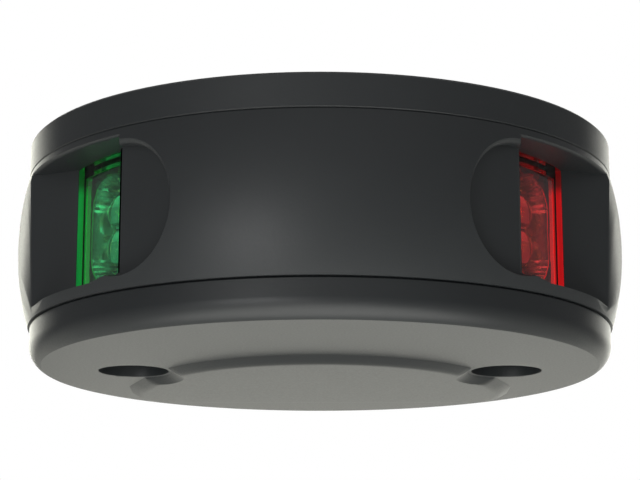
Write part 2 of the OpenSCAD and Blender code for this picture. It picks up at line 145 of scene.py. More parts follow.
CAMERA_PLACE = (0.0, -281.8, -77.6)
CAMERA_PITCH = 13.07
eye = bpy.data.cameras.new("eye")
eye.lens = 111.85
eye.sensor_width = 36.0
eye.clip_start = 0.01
camera = bpy.data.objects.new("eye", eye)
camera.location = Vector(CAMERA_PLACE) * MM
camera.rotation_euler = (math.radians(90 + CAMERA_PITCH), 0, 0)
scene.collection.objects.link(camera)
scene.camera = camera

# The mounting plate closes the top of the light. It is black ASA, injection moulded in a
# spark-eroded tool, so it is matt with a fine even grain, and its rim is the ring above the barrel.


def moulded_plastic(name, dark, light, roughness, grain=0.3, depth=0.014):
    """Engineering plastic: soft sheen, an even grain of about a third of a millimetre."""
    material, tree = new_material(name)
    place = add_node(tree, "ShaderNodeTexCoord")
    flow = add_node(tree, "ShaderNodeTexNoise", {"Scale": 1 / (9 * MM), "Detail": 4.0},
                    {"Vector": place.outputs["Object"]})
    tone = add_node(tree, "ShaderNodeMix", {"data_type": "RGBA"}, {"Factor": flow.outputs["Fac"]})
    tone.inputs["A"].default_value = linear(dark)
    tone.inputs["B"].default_value = linear(light)
    grit = add_node(tree, "ShaderNodeTexNoise", {"Scale": 1 / (grain * MM), "Detail": 2.0},
                    {"Vector": place.outputs["Object"]})
    sheen = add_node(tree, "ShaderNodeMapRange", {"To Min": roughness - 0.07, "To Max": roughness + 0.07},
                     {"Value": grit.outputs["Fac"]})
    bump = add_node(tree, "ShaderNodeBump", {"Strength": 0.7, "Distance": depth * MM},
                    {"Height": grit.outputs["Fac"]})
    shader = add_node(tree, "ShaderNodeBsdfPrincipled", {"IOR": 1.5},
                      {"Base Color": tone.outputs["Result"], "Roughness": sheen.outputs["Result"],
                       "Normal": bump.outputs["Normal"]})
    close_material(tree, shader)
    return material


def finish_node(material, *nodes):
    for node in nodes:
        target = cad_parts[node]
        target.data.materials.clear()
        target.data.materials.append(material)


housing_black = moulded_plastic("black_asa_housing", "#232628", "#292C2E", 0.46)
finish_node(housing_black, "base_plate")

# The gasket, the two seals and the cable grommet are black EPDM rubber, cut or moulded. They are
# dull, with a dusty bloom in soft patches, and lie in grooves so that only the gasket's face shows.


def black_rubber(name, dark, bloom, grain):
    material, tree = new_material(name)
    place = add_node(tree, "ShaderNodeTexCoord")
    patch = add_node(tree, "ShaderNodeTexNoise", {"Scale": 1 / (6 * MM), "Detail": 5.0},
                     {"Vector": place.outputs["Object"]})
    tone = add_node(tree, "ShaderNodeMix", {"data_type": "RGBA"}, {"Factor": patch.outputs["Fac"]})
    tone.inputs["A"].default_value = linear(dark)
    tone.inputs["B"].default_value = linear(bloom)
    pores = add_node(tree, "ShaderNodeTexVoronoi", {"Scale": 1 / (grain * MM)},
                     {"Vector": place.outputs["Object"]})
    bump = add_node(tree, "ShaderNodeBump", {"Strength": 0.5, "Distance": 0.03 * MM},
                    {"Height": pores.outputs["Distance"]})
    shader = add_node(tree, "ShaderNodeBsdfPrincipled", {"Roughness": 0.8, "IOR": 1.5},
                      {"Base Color": tone.outputs["Result"], "Normal": bump.outputs["Normal"]})
    close_material(tree, shader)
    return material


epdm = black_rubber("black_epdm_rubber", "#161616", "#222221", 0.5)
finish_node(epdm, "mounting_gasket", "base_seal", "cover_seal", "cable_grommet",
            "starboard_lens_seal", "port_lens_seal")

# The vent film is a small disc of porous PTFE, fixed over the vent hole in the mounting plate. It lets
# the air inside breathe as the light warms and cools, and it keeps water out.


def porous_film():
    material, tree = new_material("porous_vent_film")
    place = add_node(tree, "ShaderNodeTexCoord")
    fibres = add_node(tree, "ShaderNodeTexNoise", {"Scale": 1 / (0.2 * MM), "Detail": 6.0},
                      {"Vector": place.outputs["Object"]})
    tone = add_node(tree, "ShaderNodeMix", {"data_type": "RGBA"}, {"Factor": fibres.outputs["Fac"]})
    tone.inputs["A"].default_value = linear("#CFCFCA")
    tone.inputs["B"].default_value = linear("#F0F0EC")
    bump = add_node(tree, "ShaderNodeBump", {"Strength": 0.4, "Distance": 0.02 * MM},
                    {"Height": fibres.outputs["Fac"]})
    shader = add_node(tree, "ShaderNodeBsdfPrincipled", {"Roughness": 0.9},
                      {"Base Color": tone.outputs["Result"], "Normal": bump.outputs["Normal"]})
    close_material(tree, shader)
    return material


finish_node(porous_film(), "vent_membrane")

# The barrel is moulded in the same black ASA. Its side is one shallow arc, and each window is a
# round sink that opens into a channel cut along the two edges of its light's sector.
RING_R, SWELL = 42.0, 1.35
BARREL_TOP, BARREL_LOW, SWELL_AT = -4.85, -26.2, -15.0
BARREL_WALL, LIP, LIP_H = 2.8, 1.6, 2.6
SOURCE = Vector((26.05, -19.0))
SECTOR = 112.5
WINDOW_TOP, WINDOW_LOW = -6.0, -24.8
RAMP_H, RAMP_L = 1.0, 3.9
FLAT_A, FLAT_U, FLAT_LEAN = 69.0, 42.1, 1.7
LENS_R = 37.0
APERTURE = (44.8, 64.5)
SINK_A, SINK_R, SINK_Z, SINK_FLAT = 38.0, 8.6, -15.7, 40.7
SINK_WALL, SINK_RIM, SINK_RIM_TURN, SINK_FLARE, SINK_DEEP = 0.7, 1.1, 60, 1.2, 8
PILLARS = ((20, 33.5), (-20, 33.5), (135, 33.5), (-135, 33.5))
PILLAR_R, PILLAR_HOLE_R, PILLAR_FOOT = 3.6, 1.7, 1.7
FRAME_IN, FRAME_BITE, FRAME_A = 34.5, 0.5, (38, 77)
WINDOW_BEHIND, FAR = 33.0, 40.0
LIP_IN, LIP_OUT, LIP_UNDER = 41.7, 45, 0.1
LIP_ARC = ((41.7, 0.0), (41.95, 0.05), (42.12, 0.14), (42.24, 0.27), (42.31, 0.42), (42.6, 0.8))
FLAT_HALF, FLAT_DEEP = 12, 8
EDGE_BREAK, EDGE_REACH, EDGE_SHORT = 0.3, 3, 0.1
LIGHT_Z = (WINDOW_TOP + WINDOW_LOW) / 2
# How far a cutting tool runs on past the face that it cuts
PAST = 1
SEAM, WELD, SHARP_FROM, TRUE_WITHIN = 0.001, 0.02, 28, 0.03
SPIN_STEPS, SINK_STEPS, SIDE_STEPS, SECTOR_STEPS = 192, 128, 24, 16


def out(angle, radius):
    turn = math.radians(angle)
    return Vector((radius * math.sin(turn), -radius * math.cos(turn)))


def spun(profile, closed=True, steps=SPIN_STEPS):
    """A profile of radius and height, in mm, spun once round the light's axis."""
    bm = bmesh.new()
    verts = [bm.verts.new((r * MM, 0, z * MM)) for r, z in profile]
    edges = [bm.edges.new((verts[i - 1], verts[i])) for i in range(0 if closed else 1, len(verts))]
    bmesh.ops.spin(bm, geom=verts + edges, cent=(0, 0, 0), axis=(0, 0, 1),
                   angle=math.tau, steps=steps, use_merge=True)
    bmesh.ops.remove_doubles(bm, verts=bm.verts, dist=SEAM * MM)
    bmesh.ops.recalc_face_normals(bm, faces=bm.faces)
    return bm


def prism(outline, low, high):
    """An outline of points in mm, raised from one height to another."""
    bm = bmesh.new()
    face = bm.faces.new([bm.verts.new((p[0] * MM, p[1] * MM, low * MM)) for p in outline])
    made = bmesh.ops.extrude_face_region(bm, geom=[face])
    moved = [g for g in made["geom"] if isinstance(g, bmesh.types.BMVert)]
    bmesh.ops.translate(bm, verts=moved, vec=(0, 0, (high - low) * MM))
    bmesh.ops.recalc_face_normals(bm, faces=bm.faces)
    return bm


def rod(radius, low, high, spot=(0.0, 0.0), segments=64):
    """A round bar along Z, in mm."""
    bm = bmesh.new()
    middle = Vector((spot[0], spot[1], (low + high) / 2)) * MM
    bmesh.ops.create_cone(bm, cap_ends=True, segments=segments, radius1=radius * MM,
                          radius2=radius * MM, depth=(high - low) * MM,
                          matrix=Matrix.Translation(middle))
    return bm


def mirrored(bm):
    bmesh.ops.scale(bm, vec=(-1, 1, 1), verts=bm.verts)
    bmesh.ops.reverse_faces(bm, faces=bm.faces)
    return bm


def loose(name, bm):
    mesh = bpy.data.meshes.new(name)
    bm.to_mesh(mesh)
    bm.free()
    obj = bpy.data.objects.new(name, mesh)
    scene.collection.objects.link(obj)
    return obj


def evaluated(obj):
    bpy.context.view_layer.update()
    return bpy.data.meshes.new_from_object(obj.evaluated_get(bpy.context.evaluated_depsgraph_get()))


def combined(body, steps):
    """Joins tools to a body or cuts them from it, one after another."""
    target = loose("blank", body)
    for operation, tool in steps:
        cutter = loose("tool", tool)
        modifier = target.modifiers.new("cut", "BOOLEAN")
        modifier.operation = operation
        modifier.solver = "EXACT"
        modifier.object = cutter
        result = evaluated(target)
        target.modifiers.clear()
        target.data = result
        bpy.data.objects.remove(cutter)
    bm = bmesh.new()
    bm.from_mesh(target.data)
    bpy.data.objects.remove(target)
    return bm


def rounded(bm, width, chosen=None):
    """Breaks each sharp edge, or each chosen one, as the edges of a moulding are."""
    bmesh.ops.remove_doubles(bm, verts=bm.verts, dist=WELD * MM)
    sharp = [e for e in bm.edges if len(e.link_faces) == 2
             and e.calc_face_angle(0) > math.radians(SHARP_FROM) and (chosen is None or chosen(e))]
    bmesh.ops.bevel(bm, geom=sharp, affect="EDGES", offset=width * MM, segments=2,
                    profile=0.5, material=-1, clamp_overlap=True)
    return bm


def piece(name, bm, materials, slot, *nodes, smooth=40, even=True):
    """Makes the finished piece: its normals follow its large faces, so flats stay flat."""
    obj = loose(name, bm)
    for material in materials:
        obj.data.materials.append(material)
    obj.data.shade_smooth()
    obj.data.set_sharp_from_angle(angle=math.radians(smooth))
    if even:
        weighted = obj.modifiers.new("even_normals", "WEIGHTED_NORMAL")
        weighted.keep_sharp = True
        weighted.weight = 100
    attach(obj, "root")
    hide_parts(*nodes)
    return obj


swell_rise = BARREL_TOP - SWELL_AT
arc_r = (swell_rise ** 2 + SWELL ** 2) / (2 * SWELL)
arc_x = RING_R + SWELL - arc_r
barrel_in = RING_R - BARREL_WALL
lip_in = barrel_in - LIP


def side_radius(z):
    return arc_x + math.sqrt(arc_r ** 2 - (z - SWELL_AT) ** 2)


side_heights = [BARREL_LOW + (BARREL_TOP - BARREL_LOW) * i / SIDE_STEPS for i in range(SIDE_STEPS + 1)]
barrel_profile = [(side_radius(z), z) for z in side_heights]
barrel_profile += [(lip_in, BARREL_TOP), (lip_in, BARREL_TOP - LIP_H), (barrel_in, BARREL_TOP - LIP_H),
                   (barrel_in, BARREL_LOW + LIP_H), (lip_in, BARREL_LOW + LIP_H), (lip_in, BARREL_LOW)]


def sector(inner, outer, front, back, low, high):
    """A wedge of a ring between two directions, as a solid."""
    angles = [front + (back - front) * i / SECTOR_STEPS for i in range(SECTOR_STEPS + 1)]
    outline = [out(a, outer) for a in angles] + [out(a, inner) for a in reversed(angles)]
    return prism(outline, low, high)


def lens_frame():
    return sector(FRAME_IN, barrel_in + FRAME_BITE, *FRAME_A, BARREL_LOW, BARREL_TOP)


def loft(low_points, high_points):
    """A solid between two outlines that have as many points, given in mm with their heights."""
    bm = bmesh.new()
    rings = [[bm.verts.new(Vector(p) * MM) for p in points] for points in (low_points, high_points)]
    for i in range(len(low_points)):
        bm.faces.new((rings[0][i - 1], rings[0][i], rings[1][i], rings[1][i - 1]))
    bm.faces.new(rings[0])
    bm.faces.new(rings[1])
    bmesh.ops.recalc_face_normals(bm, faces=bm.faces)
    return bm


SECTOR_SIDES = [SOURCE, SOURCE + out(0, FAR), SOURCE + out(SECTOR / 2, FAR), SOURCE + out(SECTOR, FAR)]


def window_cut():
    """The sector's wedge, from just behind the lens outwards, with its floor rising at the front."""
    front, back = APERTURE
    outline = [out(front, WINDOW_BEHIND), out(front, LENS_R)] + SECTOR_SIDES[1:]
    outline += [out(back, LENS_R), out(back, WINDOW_BEHIND)]
    ramp = prism([(0, -PAST), (RAMP_L, -PAST), (RAMP_L, 0), (0, RAMP_H)], 0, FAR)
    place = Matrix.Translation(Vector((SOURCE.x, SOURCE.y, WINDOW_LOW)) * MM)
    ramp.transform(place @ Matrix.Rotation(math.pi / 2, 4, "X"))
    return combined(prism(outline, WINDOW_LOW, WINDOW_TOP), [("DIFFERENCE", ramp)])


def window_lip():
    """The soft edge where the window's ceiling meets the barrel's side."""
    profile = [(LIP_IN, WINDOW_TOP - LIP_UNDER)] + [(r, WINDOW_TOP + rise) for r, rise in LIP_ARC]
    profile += [(LIP_OUT, WINDOW_TOP + LIP_ARC[-1][1]), (LIP_OUT, WINDOW_TOP - LIP_UNDER)]
    wedge = prism(SECTOR_SIDES, WINDOW_TOP - PAST, WINDOW_TOP + 2 * PAST)
    return combined(spun(profile), [("INTERSECT", wedge)])


def leaning_radius(z):
    return FLAT_U + (z - LIGHT_Z) * math.tan(math.radians(FLAT_LEAN))


def flat_cut():
    """The leaning flat behind the window, which trims the barrel's swell."""
    rings = []
    corners = ((-FLAT_HALF, 0), (FLAT_HALF, 0), (FLAT_HALF, FLAT_DEEP), (-FLAT_HALF, FLAT_DEEP))
    for z in (BARREL_LOW - PAST, BARREL_TOP + PAST):
        rings.append([(out(FLAT_A, leaning_radius(z) + deep) + out(FLAT_A + 90, side)).to_3d()
                      + Vector((0, 0, z)) for side, deep in corners])
    return loft(*rings)


def aft_edge_cut():
    """Breaks the upright edge between the window's aft wall and the flat."""
    rings = []
    for z in (WINDOW_LOW, WINDOW_TOP):
        wall, normal = out(SECTOR, 1), out(FLAT_A, 1)
        reach = (leaning_radius(z) - SOURCE.dot(normal)) / wall.dot(normal)
        corner = SOURCE + wall * reach
        rings.append([p.to_3d() + Vector((0, 0, z)) for p in
                      (corner - wall * EDGE_BREAK, corner + out(FLAT_A + 90, EDGE_BREAK),
                       corner + normal * EDGE_REACH)])
    return loft(*rings)


def front_edge_cut():
    """Breaks the upright edge between the sink's flat and the window's front wall."""
    normal = out(SINK_A, 1)
    corner = Vector((SOURCE.x, (SINK_FLAT - SOURCE.x * normal.x) / normal.y))
    rings = []
    for z in (WINDOW_LOW + RAMP_H, SINK_Z + SINK_R - EDGE_SHORT):
        rings.append([p.to_3d() + Vector((0, 0, z)) for p in
                      (corner + Vector((0, EDGE_BREAK)), corner + out(SINK_A - 90, EDGE_BREAK),
                       corner + out(SECTOR / 2, EDGE_REACH))])
    return loft(*rings)


def sink_cut():
    """The round sink, whose rim is rounded over."""
    profile = [(0, 0), (SINK_R, 0), (SINK_R, SINK_WALL)]
    for degrees in range(10, SINK_RIM_TURN + 1, 10):
        turn = math.radians(degrees)
        profile.append((SINK_R + SINK_RIM * (1 - math.cos(turn)), SINK_WALL + SINK_RIM * math.sin(turn)))
    edge_r, edge_u = profile[-1]
    last = math.radians(SINK_RIM_TURN)
    profile += [(edge_r + SINK_FLARE * math.sin(last), edge_u + SINK_FLARE * math.cos(last)),
                (edge_r + SINK_FLARE * math.sin(last), SINK_DEEP), (0, SINK_DEEP)]
    bm = spun(profile, closed=False, steps=SINK_STEPS)
    turn = Matrix.Rotation(math.radians(SINK_A), 4, "Z") @ Matrix.Rotation(math.radians(90), 4, "X")
    place = out(SINK_A, SINK_FLAT)
    bm.transform(Matrix.Translation(Vector((place.x, place.y, SINK_Z)) * MM) @ turn)
    return bm


barrel_steps = []
for angle, radius in PILLARS:
    barrel_steps.append(("UNION", rod(PILLAR_R, BARREL_LOW + PILLAR_FOOT, BARREL_TOP, out(angle, radius))))
for operation, shape in (("UNION", lens_frame), ("DIFFERENCE", window_cut), ("DIFFERENCE", flat_cut),
                         ("DIFFERENCE", sink_cut), ("DIFFERENCE", window_lip),
                         ("DIFFERENCE", aft_edge_cut), ("DIFFERENCE", front_edge_cut)):
    barrel_steps.append((operation, shape()))
    barrel_steps.append((operation, mirrored(shape())))
for angle, radius in PILLARS:
    hole = rod(PILLAR_HOLE_R, BARREL_LOW - PAST, BARREL_TOP + PAST, out(angle, radius))
    barrel_steps.append(("DIFFERENCE", hole))
barrel = piece("barrel_moulding", combined(spun(barrel_profile), barrel_steps), [housing_black],
               "housing_plastic", "barrel", smooth=24, even=False)


def true_side_normals(mesh):
    """Gives the barrel's side the normals of its exact arc, so that cut faces shade smoothly."""
    normals = [Vector(n.vector) for n in mesh.corner_normals]
    for face in mesh.polygons:
        spots = [mesh.vertices[v].co / MM for v in face.vertices]
        if all(abs(s.xy.length - side_radius(s.z)) < TRUE_WITHIN for s in spots):
            for corner, s in zip(face.loop_indices, spots):
                flat = s.xy.normalized() * (side_radius(s.z) - arc_x)
                normals[corner] = Vector((flat.x, flat.y, s.z - SWELL_AT)).normalized()
    mesh.normals_split_custom_set(normals)


true_side_normals(barrel.data)

# Each lens is a thick curved pane of clear coloured polycarbonate, moulded with polished faces and
# pushed in from inside. It colours the light by its depth, so its edges look deeper; its end has a painted
# glow.
LENS_BACK, FLANGE_BACK, LENS_T = 33.9, 32.1, 2.4
FLANGE_A, CAVITY_A = (42.5, 67.2), (46.1, 62.8)
FLANGE_OVER, CAVITY_INSET = 0.9, 1.4
FIT, FIT_A, LENS_BREAK = 0.03, 0.05, 0.15
# The aft end faces of each lens, within this many degrees, get the painted glow
PAINTED_GLOW_END_A = 0.2
# The painted glow is full below the lower height and fades to painted shade above the upper one
PAINTED_SHADE_ABOVE, PAINTED_GLOW_FULL_BELOW = -8.2, -9.6


def clear_plastic(name, tint, depth_colour, density, roughness=0.02):
    """Tinted clear plastic: the tint is on its faces, and its depth soaks up the other colours."""
    material, tree = new_material(name)
    place = add_node(tree, "ShaderNodeTexCoord")
    flow = add_node(tree, "ShaderNodeTexNoise", {"Scale": 1 / (3.5 * MM), "Detail": 2.0},
                    {"Vector": place.outputs["Object"]})
    bump = add_node(tree, "ShaderNodeBump", {"Strength": 0.35, "Distance": 0.05 * MM},
                    {"Height": flow.outputs["Fac"]})
    shader = add_node(tree, "ShaderNodeBsdfPrincipled",
                      {"Base Color": linear(tint), "Roughness": roughness, "IOR": 1.585,
                       "Transmission Weight": 1.0}, {"Normal": bump.outputs["Normal"]})
    soak = add_node(tree, "ShaderNodeVolumeAbsorption",
                    {"Color": linear(depth_colour), "Density": density})
    add_node(tree, "ShaderNodeOutputMaterial", None,
             {"Surface": shader.outputs[0], "Volume": soak.outputs[0]})
    return material


def painted_glow_end(name, colour, strength):
    """The lens's frosted end, given a painted glow: patchy emission that stands in for light, though the
    lens is no lamp.
    """
    material, tree = new_material(name)
    place = add_node(tree, "ShaderNodeTexCoord")
    streaks = add_node(tree, "ShaderNodeMapping", {"Scale": (1.0, 1.0, 0.15)},
                       {"Vector": place.outputs["Object"]})
    painted_glow_patches = add_node(tree, "ShaderNodeTexNoise", {"Scale": 1 / (1.5 * MM), "Detail": 3.0},
                     {"Vector": streaks.outputs["Vector"]})
    level = add_node(tree, "ShaderNodeMapRange", {"To Min": 0.4 * strength, "To Max": 1.6 * strength},
                     {"Value": painted_glow_patches.outputs["Fac"]})
    # Painted shade: the glow fades out towards the top of the end
    height = add_node(tree, "ShaderNodeSeparateXYZ", None, {"Vector": place.outputs["Object"]})
    reach = add_node(tree, "ShaderNodeMapRange",
                     {"From Min": PAINTED_SHADE_ABOVE * MM, "From Max": PAINTED_GLOW_FULL_BELOW * MM, "To Min": 0.05},
                     {"Value": height.outputs["Z"]})
    glow = add_node(tree, "ShaderNodeMath", {"operation": "MULTIPLY"},
                    {0: level.outputs["Result"], 1: reach.outputs["Result"]})
    shader = add_node(tree, "ShaderNodeBsdfPrincipled",
                      {"Base Color": linear(colour), "Roughness": 0.6, "Emission Color": linear(colour)},
                      {"Emission Strength": glow.outputs["Value"]})
    close_material(tree, shader)
    return material


def lens_solid():
    """A nose that fills the window, a flange behind it and a hollow for the light source."""
    nose = sector(LENS_BACK, LENS_R - FIT, APERTURE[0] + FIT_A, APERTURE[1] - FIT_A,
                  WINDOW_LOW + FIT, WINDOW_TOP - FIT)
    flange = sector(FLANGE_BACK + FIT, LENS_BACK + FIT, *FLANGE_A,
                    WINDOW_LOW - FLANGE_OVER, WINDOW_TOP + FLANGE_OVER)
    cavity = sector(FLANGE_BACK - PAST, LENS_R - LENS_T, *CAVITY_A,
                    WINDOW_LOW + CAVITY_INSET, WINDOW_TOP - CAVITY_INSET)
    bm = rounded(combined(nose, [("UNION", flange), ("DIFFERENCE", cavity)]), LENS_BREAK)
    for face in bm.faces:
        middle = face.calc_center_median() / MM
        aft = math.degrees(math.atan2(middle.x, -middle.y))
        if middle.xy.length > LENS_BACK and aft > APERTURE[1] - PAINTED_GLOW_END_A:
            face.material_index = 1
    return bm


green_pc = clear_plastic("green_polycarbonate", "#D4FFF0", "#50FFC8", 330)
red_pc = clear_plastic("red_polycarbonate", "#FFD6D6", "#FF4652", 400)
# The lens ends glow with painted light, not with a lamp
green_end_painted_glow = painted_glow_end("green_lens_end_painted_glow", "#0AB858", 0.42)
red_end_painted_glow = painted_glow_end("red_lens_end_painted_glow", "#F01422", 0.52)
piece("port_lens_pane", lens_solid(), [red_pc, red_end_painted_glow], "red_lens", "port_lens")
piece("starboard_lens_pane", mirrored(lens_solid()), [green_pc, green_end_painted_glow], "green_lens", "starboard_lens")

# Behind each lens a matt black screen of glass-filled nylon frames the light source. It stops stray
# light, so each side shines only inside its own sector.
screen_black = moulded_plastic("black_nylon_screen", "#141414", "#1B1B1B", 0.6, grain=0.4)
finish_node(screen_black, "starboard_light_screen", "port_light_screen")

# The reflector is a shallow cup with round ends, moulded and then metallised in vacuum. Narrow
# upright flutes round its wall break the light up, which is why the window sparkles.
BOARD_U = 30.5
CUP_R, CUP_L, CUP_DEPTH, CUP_WALL, CUP_FLOOR_R = 4.5, 6.2, 3.4, 0.25, 3.5
FLUTE, CUP_STEPS = 0.06, 64
LIGHT_V = -1.0
to_port = Matrix.Rotation(math.radians(SECTOR / 2 - 90), 4, "Z")


def vacuum_metal():
    material, tree = new_material("vacuum_metallised_reflector")
    place = add_node(tree, "ShaderNodeTexCoord")
    haze = add_node(tree, "ShaderNodeTexNoise", {"Scale": 1 / (1.2 * MM), "Detail": 3.0},
                    {"Vector": place.outputs["Object"]})
    sheen = add_node(tree, "ShaderNodeMapRange", {"To Min": 0.06, "To Max": 0.22},
                     {"Value": haze.outputs["Fac"]})
    shader = add_node(tree, "ShaderNodeBsdfPrincipled", {"Base Color": linear("#EDEDEA"), "Metallic": 1.0},
                      {"Roughness": sheen.outputs["Result"]})
    close_material(tree, shader)
    return material


def slot_ring(bm, radius, u, flute=0.0):
    """A closed loop round an upright slot with round ends, at a depth along the sector's middle."""
    loop = []
    for i in range(CUP_STEPS):
        turn = math.tau * i / CUP_STEPS
        reach = radius + flute * (1 if i % 2 else -1)
        end = CUP_L / 2 if math.sin(turn) >= 0 else -CUP_L / 2
        spot = Vector((u, LIGHT_V + reach * math.cos(turn), LIGHT_Z + end + reach * math.sin(turn)))
        loop.append(bm.verts.new(spot * MM))
    return [bm.edges.new((loop[i - 1], loop[i])) for i in range(CUP_STEPS)]


def reflector_solid():
    bm = bmesh.new()
    floor_u, mouth_u = BOARD_U + FIT, BOARD_U + CUP_DEPTH
    rings = [slot_ring(bm, CUP_FLOOR_R, floor_u, FLUTE), slot_ring(bm, CUP_R - CUP_WALL, mouth_u, FLUTE),
             slot_ring(bm, CUP_R, mouth_u), slot_ring(bm, CUP_R, floor_u)]
    for i in range(len(rings)):
        bmesh.ops.bridge_loops(bm, edges=rings[i - 1] + rings[i])
    bmesh.ops.recalc_face_normals(bm, faces=bm.faces)
    bm.transform(to_port)
    return bm


bright = vacuum_metal()
piece("port_reflector_cup", reflector_solid(), [bright], "bright_reflector", "port_reflector", smooth=12)
piece("starboard_reflector_cup", mirrored(reflector_solid()), [bright], "bright_reflector",
      "starboard_reflector", smooth=12)

# The optic is one clear acrylic moulding over both LEDs of a side: a dome over each, joined by a
# lower bar. It is glued to the board, and its polished curves throw small bright points.
OPTIC_R, BAR_R, LED_PITCH = 3.2, 2.5, 4.8
LED_W, LED_T, LED_GAP = 3.5, 0.7, 0.1
BEHIND_BOARD = 9


def led_blocks(width, low, high):
    """A block where each LED sits, from one depth to another."""
    blocks = []
    for side in (-1, 1):
        bm = bmesh.new()
        middle = Vector((BOARD_U + (low + high) / 2, LIGHT_V, LIGHT_Z + side * LED_PITCH / 2)) * MM
        shape = Matrix.Diagonal(((high - low) * MM, width * MM, width * MM, 1))
        bmesh.ops.create_cube(bm, size=1, matrix=Matrix.Translation(middle) @ shape)
        blocks.append(bm)
    return blocks


def optic_solid():
    domes = []
    for side in (-1, 1):
        dome = bmesh.new()
        middle = Vector((BOARD_U, LIGHT_V, LIGHT_Z + side * LED_PITCH / 2)) * MM
        bmesh.ops.create_uvsphere(dome, u_segments=32, v_segments=20, radius=OPTIC_R * MM,
                                  matrix=Matrix.Translation(middle))
        domes.append(dome)
    link = rod(BAR_R, LIGHT_Z - LED_PITCH / 2, LIGHT_Z + LED_PITCH / 2, (BOARD_U, LIGHT_V), segments=40)
    back, face = BOARD_U - BEHIND_BOARD, BOARD_U + FIT
    behind = prism([(back, -BEHIND_BOARD), (face, -BEHIND_BOARD),
                    (face, BEHIND_BOARD), (back, BEHIND_BOARD)], BARREL_LOW, BARREL_TOP)
    steps = [("UNION", domes[1]), ("UNION", link), ("DIFFERENCE", behind)]
    steps += [("DIFFERENCE", block) for block in led_blocks(LED_W + 2 * LED_GAP, -PAST, LED_T + LED_GAP)]
    bm = combined(domes[0], steps)
    bm.transform(to_port)
    return bm


clear_acrylic = clear_plastic("clear_acrylic_optic", "#FFFFFF", "#F4F4F0", 20, 0.0)
piece("port_optic_dome", optic_solid(), [clear_acrylic], "clear_optic", "port_optic", smooth=25)
piece("starboard_optic_dome", mirrored(optic_solid()), [clear_acrylic], "clear_optic", "starboard_optic",
      smooth=25)

# Each LED is a white ceramic package with a round well of yellow phosphor under silicone. The
# packages are soldered to a board with a white solder mask, which throws stray light forward.
PHOSPHOR_R, PHOSPHOR_TAPER, PHOSPHOR_T, PHOSPHOR_LIFT = 1.35, 0.92, 0.06, 0.02
LED_BREAK = 0.12


def plain_gloss(name, dark, light, roughness, patch=1.0, glow=0.0):
    """A smooth finish with a slight change of tone from place to place, and, where asked, a painted glow.
    """
    material, tree = new_material(name)
    place = add_node(tree, "ShaderNodeTexCoord")
    flow = add_node(tree, "ShaderNodeTexNoise", {"Scale": 1 / (patch * MM), "Detail": 4.0},
                    {"Vector": place.outputs["Object"]})
    tone = add_node(tree, "ShaderNodeMix", {"data_type": "RGBA"}, {"Factor": flow.outputs["Fac"]})
    tone.inputs["A"].default_value = linear(dark)
    tone.inputs["B"].default_value = linear(light)
    bump = add_node(tree, "ShaderNodeBump", {"Strength": 0.5, "Distance": 0.01 * MM},
                    {"Height": flow.outputs["Fac"]})
    shader = add_node(tree, "ShaderNodeBsdfPrincipled",
                      {"Roughness": roughness, "Emission Color": linear(light), "Emission Strength": glow},
                      {"Base Color": tone.outputs["Result"], "Normal": bump.outputs["Normal"]})
    close_material(tree, shader)
    return material


def led_solid():
    """Both packages of one side, with the phosphor disc of each on the second material."""
    bm = bmesh.new()
    for side in (-1, 1):
        z = LIGHT_Z + side * LED_PITCH / 2
        middle = Vector((BOARD_U + LED_T / 2, LIGHT_V, z)) * MM
        shape = Matrix.Diagonal((LED_T * MM, LED_W * MM, LED_W * MM, 1))
        body = bmesh.ops.create_cube(bm, size=1, matrix=Matrix.Translation(middle) @ shape)
        edges = list({e for v in body["verts"] for e in v.link_edges})
        bmesh.ops.bevel(bm, geom=edges, affect="EDGES", offset=LED_BREAK * MM, segments=2,
                        profile=0.5, material=-1)
        disc_at = Matrix.Translation(Vector((BOARD_U + LED_T + PHOSPHOR_LIFT, LIGHT_V, z)) * MM)
        disc = bmesh.ops.create_cone(bm, cap_ends=True, segments=32, radius1=PHOSPHOR_R * MM,
                                     radius2=PHOSPHOR_R * PHOSPHOR_TAPER * MM, depth=PHOSPHOR_T * MM,
                                     matrix=disc_at @ Matrix.Rotation(math.pi / 2, 4, "Y"))
        for face in {f for v in disc["verts"] for f in v.link_faces}:
            face.material_index = 1
    bm.transform(to_port)
    return bm


led_ceramic = plain_gloss("white_led_ceramic", "#E4E3DC", "#F4F3EE", 0.35)
# The phosphor has a painted glow, as if the LEDs were faintly lit, which lights the window's inside
led_phosphor = plain_gloss("yellow_phosphor_painted_glow", "#F0C53A", "#FFE58A", 0.3, patch=0.4, glow=9.0)
piece("port_led_packages", led_solid(), [led_ceramic, led_phosphor], "led_phosphor", "port_leds")
piece("starboard_led_packages", mirrored(led_solid()), [led_ceramic, led_phosphor], "led_phosphor",
      "starboard_leds")
white_mask = plain_gloss("white_solder_mask", "#DAD9D2", "#EDECE6", 0.3)
finish_node(white_mask, "starboard_led_board", "port_led_board")

# A small aluminium bracket carries each LED board and takes its heat up to the mounting plate. It is
# pressed from rolled sheet, which leaves fine parallel lines.


